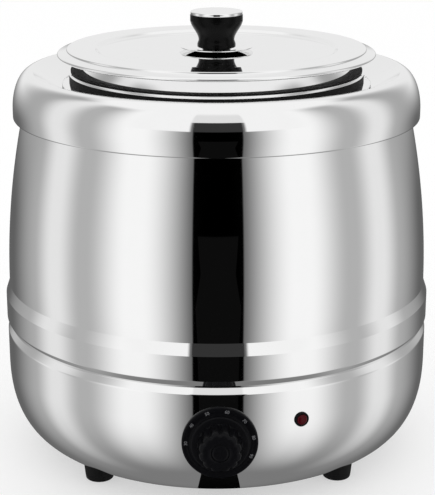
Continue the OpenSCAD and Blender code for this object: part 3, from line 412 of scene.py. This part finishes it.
narrowing, flare = KNOB_FOOT_R - KNOB_WAIST_R, KNOB_R - KNOB_WAIST_R
knob_section = ([(0, 0), (11, 0), (11, 1.2), (14.9, 1.6), (KNOB_FOOT_R, 1.9)]
                + [(KNOB_FOOT_R - narrowing * ease(i / 12), GRIP_H * (0.13 + 0.14 * i / 12))
                   for i in range(13)]
                + [(KNOB_WAIST_R + flare * ease(i / 24), GRIP_H * (0.27 + 0.57 * i / 24))
                   for i in range(1, 25)]
                + arc(KNOB_R - 0.5, GRIP_H - 0.5, 0.5, 0, 80, 5)
                + [(KNOB_R - 1.6, GRIP_H), (KNOB_R - 1.6, GRIP_H - RECESS_H), (0, GRIP_H - RECESS_H)])
lid_knob = lathe("lid_knob_grip", [(r, z + KNOB_Z) for r, z in knob_section], PHENOLIC, 192)
settle(lid_knob, "lid", "black_phenolic", "lid_knob")

cap_z = KNOB_Z + GRIP_H - RECESS_H
cap_section = ([(0, 0), (19.0, 0), (19.0, RECESS_H), (20.3, RECESS_H)]
               + arc(19.6, DISC_H + 0.1, 0.9, 0, 80, 8)
               + [(18.6, DISC_H + 0.98), (17.6, DISC_H + 0.94), (0, DISC_H + 0.94)])
cap = lathe("lid_knob_disc", [(r, z + cap_z) for r, z in cap_section], MIRROR, 192)
settle(cap, "lid", "polished_steel", "lid_knob_cap")


# ---- Dial ----
def plastic_on_bowl(name, rings, place, node, segments):
    """A turned piece on the bowl. Each ring is (radius, height), and a height of None lies on the bowl."""
    out = place.to_3x3() @ Vector((0, 0, 1))
    across = place.to_3x3() @ Vector((1, 0, 0))
    verts = []
    for r, h in rings:
        for k in range(segments):
            a = 2 * math.pi * k / segments
            point = place @ Vector((r * math.cos(a), r * math.sin(a), 0.0 if h is None else h))
            if h is None:
                side = point.dot(across)
                depth = bowl_depth(side, max(point.z, BOWL_LIFT + 3)) + BOWL_GAP
                point = across * side + out * depth + Vector((0, 0, point.z))
            verts.append(tuple(point))
    piece = mesh_piece(name, verts, ring_faces(len(rings), segments), PLASTIC)
    settle(piece, "kettle", "black_plastic", node)


def raised_number(number, place):
    """Vertices and faces of a number centred on place's origin and facing its +Z."""
    curve = bpy.data.curves.new("mark", "FONT")
    curve.body = str(number)
    curve.size = MARK_SIZE
    curve.align_x = "CENTER"
    curve.align_y = "CENTER"
    curve.extrude = MARK_T
    holder = linked("mark_source", curve)
    bpy.context.view_layer.update()
    mesh = bpy.data.meshes.new_from_object(holder.evaluated_get(bpy.context.evaluated_depsgraph_get()))
    verts = [tuple(place @ v.co) for v in mesh.vertices]
    faces = [tuple(p.vertices) for p in mesh.polygons]
    bpy.data.objects.remove(holder)
    bpy.data.meshes.remove(mesh)
    return verts, faces


def joined(parts):
    """One list of vertices and one of faces from several."""
    verts, faces = [], []
    for v, f in parts:
        start = len(verts)
        verts += v
        faces += [tuple(i + start for i in face) for face in f]
    return verts, faces


def fluted(name, rings, place, material, segments=288):
    """A closed piece of rings (radius, height, flute depth), turned about place's +Z."""
    verts = []
    for r, h, depth in rings:
        for k in range(segments):
            a = 2 * math.pi * k / segments
            cut = r - depth * (0.5 + 0.5 * math.cos(FLUTES * a)) ** 3
            verts.append((cut * math.cos(a), cut * math.sin(a), h))
    faces = ring_faces(len(rings), segments, closed=False)
    verts.append((0, 0, rings[0][1]))
    verts.append((0, 0, rings[-1][1]))
    last = (len(rings) - 1) * segments
    for k in range(segments):
        m = (k + 1) % segments
        faces.append((m, k, len(verts) - 2))
        faces.append((last + k, last + m, len(verts) - 1))
    return mesh_piece(name, moved(verts, place), faces, material)


FRONT = facing(0, BEZEL_Y, DIAL_Z)
plastic_on_bowl("dial_plate", [
    (6, None), (BEZEL_R, None), (BEZEL_R, -1.0), (28.05, -0.45), (27.6, -0.12), (27.0, 0),
    (24.5, 0), (24.3, -0.12), (22.4, -0.12), (22.2, 0), (6, 0)], FRONT, "dial_bezel", 192)

marks = []
for i in range(MARKS):
    angle = math.radians(180 - MARK_ANGLE * i)
    spot = Matrix.Translation((MARK_R * math.cos(angle), MARK_R * math.sin(angle), 0.03))
    turned = spot @ Matrix.Rotation(angle - math.pi / 2, 4, "Z")
    marks.append(raised_number(FIRST_MARK + MARK_STEP * i, FRONT @ turned))
numbers = mesh_piece("dial_numbers", *joined(marks), INK)
settle(numbers, "kettle", "black_plastic")

dial = fluted("dial_grip", [
    (21.2, 0.6, 0), (21.6, 1.0, 0), (21.6, 2.2, 0), (21.2, 2.75, 0), (20.4, 3.0, 0), (17.3, 3.0, 0.2),
    (16.9, 3.1, 0.6), (16.75, 3.5, 1.2), (16.6, 5.0, 1.5), (15.8, 13.5, 1.5), (15.6, 15.6, 1.5),
    (15.3, 16.6, 1.4), (14.6, 17.6, 1.1), (13.6, 18.2, 0.6), (12.2, 18.5, 0.1), (7.4, 18.5, 0),
    (6.9, 18.2, 0), (6.7, 17.3, 0)], FRONT, PLASTIC)
settle(dial, "dial", "black_phenolic", "control_knob")
dial_cap = lathe("dial_cap", [
    (0, 17.1), (6.5, 17.1), (6.5, 18.1), (6.2, 18.4), (5.6, 18.4), (5.3, 18.15), (4.6, 18.05), (0, 18.05)],
    PLASTIC, 96, FRONT)
settle(dial_cap, "dial", "black_plastic", "knob_cap")

# ---- Pilot lamp ----
LAMP = facing(LAMP_BEARING, bowl_r_at(LAMP_Z), LAMP_Z)
plastic_on_bowl("lamp_rim", [
    (4.2, None), (LAMP_RIM_R, None), (LAMP_RIM_R, 0.9), (5.45, 1.2), (5.1, LAMP_RIM_H), (4.4, LAMP_RIM_H),
    (4.05, 1.2), (4.0, 0.2)], LAMP, "lamp_body", 96)
dome = [(LENS_R * math.cos(math.radians(9 * i)), LAMP_RIM_H + LENS_DOME * math.sin(math.radians(9 * i)))
        for i in range(1, 11)]
lens_section = [(0, -LENS_TAIL), (LENS_R, -LENS_TAIL), (LENS_R, LAMP_RIM_H)] + dome
lens = lathe("lamp_lens_red", lens_section, LENS, 96, LAMP)
settle(lens, "kettle", "lamp_red", "lamp_lens")

# ---- Feet: the rings with no height lie on the bowl's underside ----
FOOT_RINGS = [(2.2, 4), (5, 4), (5, 0.3), (5.3, 0), (9.4, 0), (10.2, 0.25), (10.75, 0.75), (11, 1.5),
              (11.35, 4.2), (11.15, 4.5), (11.2, 4.9), (11.45, 5.1), (12.2, None), (8, None), (2.2, None)]
CORNERS = (("front_left", -1, -1), ("front_right", 1, -1), ("rear_left", -1, 1), ("rear_right", 1, 1))
for label, sx, sy in CORNERS:
    verts = []
    for r, z in FOOT_RINGS:
        for k in range(FOOT_SEGMENTS):
            a = 2 * math.pi * k / FOOT_SEGMENTS
            x, y = FOOT_XY * sx + r * math.cos(a), FOOT_XY * sy + r * math.sin(a)
            verts.append((x, y, bowl_z_at(math.hypot(x, y)) - FOOT_SINK if z is None else z))
    faces = ring_faces(len(FOOT_RINGS), FOOT_SEGMENTS)
    foot = mesh_piece("foot_rubber_" + label, verts, faces, RUBBER)
    settle(foot, "kettle", "rubber", "foot_" + label)

# ---- Cord gland ----
GLAND = facing(180, bowl_r_at(GLAND_Z), GLAND_Z)
plastic_on_bowl("gland_body", [
    (8.0, None), (12.0, None), (12.0, 3.4), (11.6, 4.0), (10.6, 4.3), (10.5, 4.6), (10.5, 13.0), (10.2, 13.6),
    (6.5, 20.0), (5.9, 20.5), (4.9, 20.5), (4.5, 20.1), (4.5, -14), (8.0, -14)], GLAND, "cord_gland", 96)

# ---- Finish of the CAD pieces that stay ----
FINISHES = {"polished_steel": MIRROR, "satin_steel": SATIN, "zinc_steel": ZINC, "aluminium": ALUMINIUM,
            "heater_sheath": SHEATH, "brass": BRASS, "copper": COPPER, "ceramic": CERAMIC, "rubber": RUBBER,
            "black_plastic": PLASTIC, "black_phenolic": PHENOLIC, "lamp_red": LENS, "wire_insulation": WIRE}
for entry in frame["record"]["subparts"]:
    if entry["node"] in frame["nodes"]:
        for slot in frame["nodes"][entry["node"]].material_slots:
            slot.material = FINISHES[entry["material_slot"]]

# ---- Camera, in metres and degrees ----
CAMERA_YAW, CAMERA_TILT = -0.85, 73.26
CAMERA_REACH, CAMERA_SHIFT, CAMERA_HEIGHT = 1.1686, 0.0008, 0.513
camera_data = bpy.data.cameras.new("camera")
camera_data.lens = 107.6
camera_data.sensor_width = 36.0
camera_data.sensor_fit = "AUTO"
camera = linked("camera", camera_data)
yaw = math.radians(CAMERA_YAW)
camera.location = (CAMERA_REACH * math.sin(yaw) + CAMERA_SHIFT, -CAMERA_REACH * math.cos(yaw), CAMERA_HEIGHT)
camera.rotation_euler = (math.radians(CAMERA_TILT), 0, yaw)
bpy.context.scene.camera = camera
bpy.context.scene.view_settings.view_transform = "Standard"

# ---- World and floor ----
FLOOR_HALF = 8
PLAIN_SHARE = 0.5
world = bpy.data.worlds.new("studio")
bpy.context.scene.world = world
world.use_nodes = True
world.node_tree.nodes["Background"].inputs["Color"].default_value = (1, 1, 1, 1)
world.node_tree.nodes["Background"].inputs["Strength"].default_value = 1.0


def floor_paper():
    """White paper, which the camera sees half lit and half plain white, so that the shadow stays faint."""
    material, nodes, links, shader = node_tree("floor")
    shader.inputs["Base Color"].default_value = (1, 1, 1, 1)
    shader.inputs["Roughness"].default_value = 0.6
    plain = add(nodes, "ShaderNodeEmission")
    seen = add(nodes, "ShaderNodeLightPath")
    share = add(nodes, "ShaderNodeMath", operation="MULTIPLY")
    share.inputs[1].default_value = PLAIN_SHARE
    blend = add(nodes, "ShaderNodeMixShader")
    links.new(seen.outputs["Is Camera Ray"], share.inputs[0])
    links.new(share.outputs[0], blend.inputs[0])
    links.new(shader.outputs[0], blend.inputs[1])
    links.new(plain.outputs[0], blend.inputs[2])
    links.new(blend.outputs[0], nodes["Material Output"].inputs["Surface"])
    return material


def stage_mesh(name, verts, faces, material):
    """A mesh of the stage, given in metres."""
    mesh = bpy.data.meshes.new(name)
    mesh.from_pydata(verts, [], faces)
    mesh.materials.append(material)
    return linked(name, mesh)


def reflected_only(piece):
    """Leaves a piece of the stage to reflection rays alone."""
    piece.visible_camera = False
    piece.visible_diffuse = False
    piece.visible_transmission = False
    piece.visible_shadow = False


corners = [(x * FLOOR_HALF, y * FLOOR_HALF, 0) for x, y in ((-1, -1), (1, -1), (1, 1), (-1, 1))]
floor = stage_mesh("floor", corners, [(0, 1, 2, 3)], floor_paper())
floor.visible_glossy = False


# ---- Studio that the steel reflects: angles in degrees from the centre of the floor, lengths in metres ----
FLAG_EDGE, FLAG_TOP = (12.8, 13.8), (29.5, 31)
FLAG_TONE, FLAG_UPPER_TONE = 0.004, 0.034
LOW_SKY = (12.5, 14)
CEILING = (46, 58)
TENT_R, TENT_ROWS, TENT_COLUMNS = 12.0, 36, 72


def tent_walls():
    """Emission of the tent: a black flag in front, soft boxes at the sides and a white ceiling."""
    material = bpy.data.materials.new("tent_walls")
    material.use_nodes = True
    nodes, links = material.node_tree.nodes, material.node_tree.links
    nodes.clear()

    def math_of(operation, *values):
        node = add(nodes, "ShaderNodeMath", operation=operation)
        for i, value in enumerate(values):
            if isinstance(value, (int, float)):
                node.inputs[i].default_value = value
            else:
                links.new(value, node.inputs[i])
        return node.outputs[0]

    def rise(value, start, end, low=0.0, high=1.0):
        """Goes smoothly from low to high as value goes from start to end."""
        node = add(nodes, "ShaderNodeMapRange", interpolation_type="SMOOTHSTEP")
        for key, number in (("From Min", start), ("From Max", end), ("To Min", low), ("To Max", high)):
            node.inputs[key].default_value = number
        links.new(value, node.inputs["Value"])
        return node.outputs["Result"]

    def towards(value, level, share):
        """Moves value to level by share."""
        gap = math_of("SUBTRACT", level, value)
        return math_of("ADD", value, math_of("MULTIPLY", gap, share))

    place = add(nodes, "ShaderNodeTexCoord")
    axes = add(nodes, "ShaderNodeSeparateXYZ")
    links.new(place.outputs["Object"], axes.inputs[0])
    x, y, z = axes.outputs
    front = math_of("MULTIPLY", y, -1.0)
    bearing = math_of("DEGREES", math_of("ABSOLUTE", math_of("ARCTAN2", x, front)))
    flat = math_of("SQRT", math_of("ADD", math_of("MULTIPLY", x, x), math_of("MULTIPLY", y, y)))
    height = math_of("DEGREES", math_of("ARCTAN2", z, flat))

    # Soft boxes at both sides, over a grey lower part that is painted shade of the kettle on the white floor,
    # darker downwards, with a paler wall behind
    key_box = math_of("SUBTRACT", rise(bearing, 5, 41, 0, 0.98), rise(bearing, 49, 74, 0, 0.52))
    fill_box = math_of("SUBTRACT", rise(bearing, 78, 95, 0, 0.36), rise(bearing, 99, 116, 0, 0.36))
    side = math_of("SUBTRACT", math_of("ADD", key_box, fill_box), rise(bearing, 108, 150, 0, 0.34))
    # Painted shade: below the horizon the tent darkens to grey, in place of the kettle's shadow on the floor,
    # which reflection rays don't see
    painted_floor_shade = towards(side, 0.20, rise(height, -15, -72, 0, 1))
    behind = math_of("MULTIPLY", rise(bearing, 115, 155), rise(height, -12, 9))
    walls = towards(painted_floor_shade, 0.85, behind)

    # White over and beside the flag, which the collar and the lid reflect
    over_flag = math_of("MULTIPLY", rise(height, *FLAG_TOP), rise(bearing, 14, 45, 1, 0))
    walls = towards(walls, 0.78, over_flag)
    low_sky = math_of("MULTIPLY", rise(height, *LOW_SKY), rise(bearing, 14, 16))
    walls = towards(walls, 0.95, math_of("MULTIPLY", low_sky, rise(bearing, 40, 60, 1, 0)))

    # The flag, a little paler in its upper part, and the ceiling
    beside_flag = math_of("MAXIMUM", rise(bearing, *FLAG_EDGE, FLAG_TONE, 1), rise(height, *FLAG_TOP))
    walls = math_of("MULTIPLY", walls, beside_flag)
    walls = math_of("MAXIMUM", walls, rise(height, *LOW_SKY, 0, FLAG_UPPER_TONE))
    walls = towards(walls, 0.95, rise(height, *CEILING))
    glow = add(nodes, "ShaderNodeEmission")
    links.new(walls, glow.inputs["Strength"])
    result = add(nodes, "ShaderNodeOutputMaterial")
    links.new(glow.outputs[0], result.inputs["Surface"])
    return material


tent_verts = []
for i in range(TENT_ROWS + 1):
    rise_angle = math.radians(-90 + 180 * i / TENT_ROWS)
    ring_r = TENT_R * math.cos(rise_angle)
    for k in range(TENT_COLUMNS):
        a = 2 * math.pi * k / TENT_COLUMNS
        tent_verts.append((ring_r * math.sin(a), ring_r * math.cos(a), TENT_R * math.sin(rise_angle)))
tent_faces = ring_faces(TENT_ROWS + 1, TENT_COLUMNS, closed=False)
reflected_only(stage_mesh("tent", tent_verts, tent_faces, tent_walls()))

# Black card just over the floor, which widens towards the flag. Each pair is its half width and its
# distance in front of the axis, in mm. The gap between the first two pairs and the rest stays open.
CARD_NEAR = ((15.8, 50), (17.5, 185))
CARD_FAR = ((24, 240), (65, 445), (152, 811), (223, 1481), (1300, 7000))
CARD_LIFT = 0.0006
card_verts = [(side * half * MM, -out * MM, CARD_LIFT)
              for half, out in CARD_NEAR + CARD_FAR for side in (-1, 1)]
card_faces = [(2 * i, 2 * i + 1, 2 * i + 3, 2 * i + 2) for i in (0, 2, 3, 4, 5)]
flag_cloth = finish_of("flag_cloth", (0.004, 0.004, 0.004), 0.9, 0.0, 0.02, 0.1, 50.0, gloss=0.0)
reflected_only(stage_mesh("floor_flag", card_verts, card_faces, flag_cloth))
